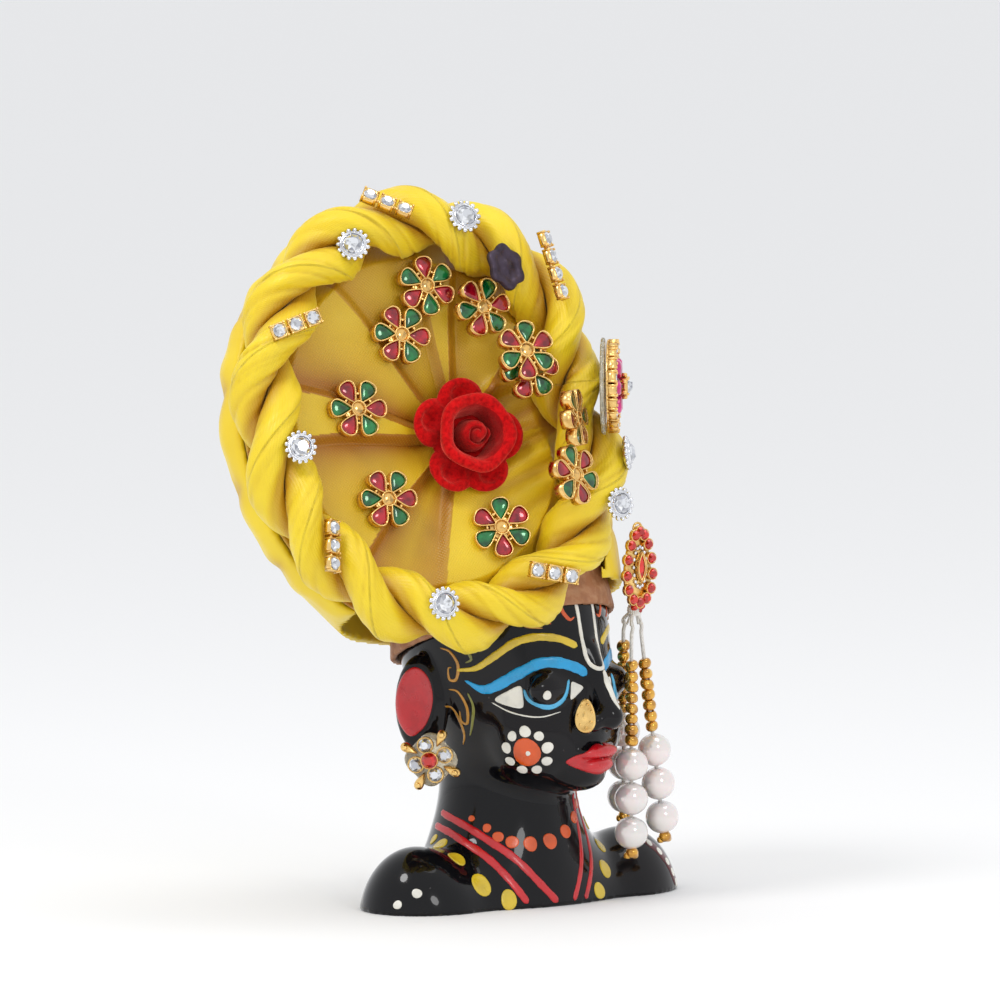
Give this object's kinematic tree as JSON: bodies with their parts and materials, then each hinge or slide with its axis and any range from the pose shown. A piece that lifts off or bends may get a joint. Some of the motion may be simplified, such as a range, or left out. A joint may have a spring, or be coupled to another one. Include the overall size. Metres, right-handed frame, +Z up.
{
  "type": "turbaned puppet head and shoulders",
  "caption": "Black lacquered puppet head and shoulders in a big yellow satin turban with a pleated fan front, rope border, jewelled studs and a hanging bead tassel.",
  "frame": {"origin": "on the flat underside of the bust, below the middle of the neck", "axes": "+X towards the doll's left shoulder, -Y the way the chest faces, +Z up through the neck"},
  "size_m": [0.0948, 0.0574, 0.1292],
  "materials": {
    "lacquer": "gloss",
    "satin": "satin",
    "card": "matte",
    "flock": "matte",
    "gold": "polished",
    "enamel": "gloss",
    "dark_metal": "satin",
    "clear_stone": "polished",
    "red_stone": "polished",
    "pink_enamel": "gloss",
    "clear_plastic": "gloss",
    "pearl": "gloss",
    "amber": "gloss",
    "thread": "matte"
  },
  "bodies": {
    "bust": {"bust": "lacquer", "nose_leaf": "gold", "earring_right_mount": "gold", "earring_right_stone": "red_stone", "earring_left_mount": "gold", "earring_left_stone": "red_stone"},
    "turban": {"border_strand_a": "satin", "border_strand_b": "satin", "flower_stud_1": "enamel", "flower_stud_2": "enamel", "flower_stud_3": "enamel", "flower_stud_4": "enamel", "flower_stud_5": "enamel", "flower_stud_6": "enamel", "flower_stud_7": "enamel", "flower_stud_8": "enamel", "flower_stud_9": "enamel", "flower_stud_10": "enamel", "flower_stud_reversed": "dark_metal", "halo_stone_1": "clear_stone", "halo_stone_2": "clear_stone", "halo_stone_3": "clear_stone", "halo_stone_4": "clear_stone", "halo_stone_5": "clear_stone", "halo_stone_6": "clear_stone", "stone_bar_1": "clear_stone", "stone_bar_2": "clear_stone", "stone_bar_3": "clear_stone", "stone_bar_4": "clear_stone", "stone_bar_5": "clear_stone", "rose_outer_petals": "flock", "rose_inner_petals": "flock", "rose_bud": "flock", "brooch_plate": "clear_plastic", "brooch_stone_ring": "gold", "brooch_flower": "pink_enamel", "brooch_stone": "clear_stone", "pleated_fan": "satin", "head_band": "card", "turban_shell": "satin"},
    "pendant": {"pendant_frame": "red_stone", "pendant_stone": "red_stone"},
    "strand_front": {"strand_front_thread": "thread", "strand_front_pearl_1": "pearl", "strand_front_pearl_2": "pearl", "strand_front_pearl_3": "pearl", "strand_front_seed_beads": "amber"},
    "strand_side": {"strand_side_thread": "thread", "strand_side_pearl_1": "pearl", "strand_side_pearl_2": "pearl", "strand_side_pearl_3": "pearl", "strand_side_seed_beads": "amber"},
    "strand_back": {"strand_back_thread": "thread", "strand_back_pearl_1": "pearl", "strand_back_pearl_2": "pearl", "strand_back_pearl_3": "pearl", "strand_back_seed_beads": "amber"}
  },
  "joints": [
    {"name": "turban_lift", "type": "slide", "parent": "bust", "child": "turban", "axis": [0, 0, 1], "range_m": [0, 0.045]},
    {"name": "pendant_swing", "type": "hinge", "parent": "turban", "child": "pendant", "pos_m": [0.0158, -0.0174, 0.0644], "axis": [-0.9982, -0.06, 0], "range_deg": [0, 60]},
    {"name": "strand_front_swing", "type": "hinge", "parent": "pendant", "child": "strand_front", "pos_m": [0.0142, -0.0174, 0.0506], "axis": [-1, 0, 0], "range_deg": [0, 40]},
    {"name": "strand_side_swing", "type": "hinge", "parent": "pendant", "child": "strand_side", "pos_m": [0.0171, -0.0159, 0.0506], "axis": [-1, 0, 0], "range_deg": [0, 40]},
    {"name": "strand_back_swing", "type": "hinge", "parent": "pendant", "child": "strand_back", "pos_m": [0.0155, -0.0135, 0.0506], "axis": [1, 0, 0], "range_deg": [0, 12]}
  ]
}
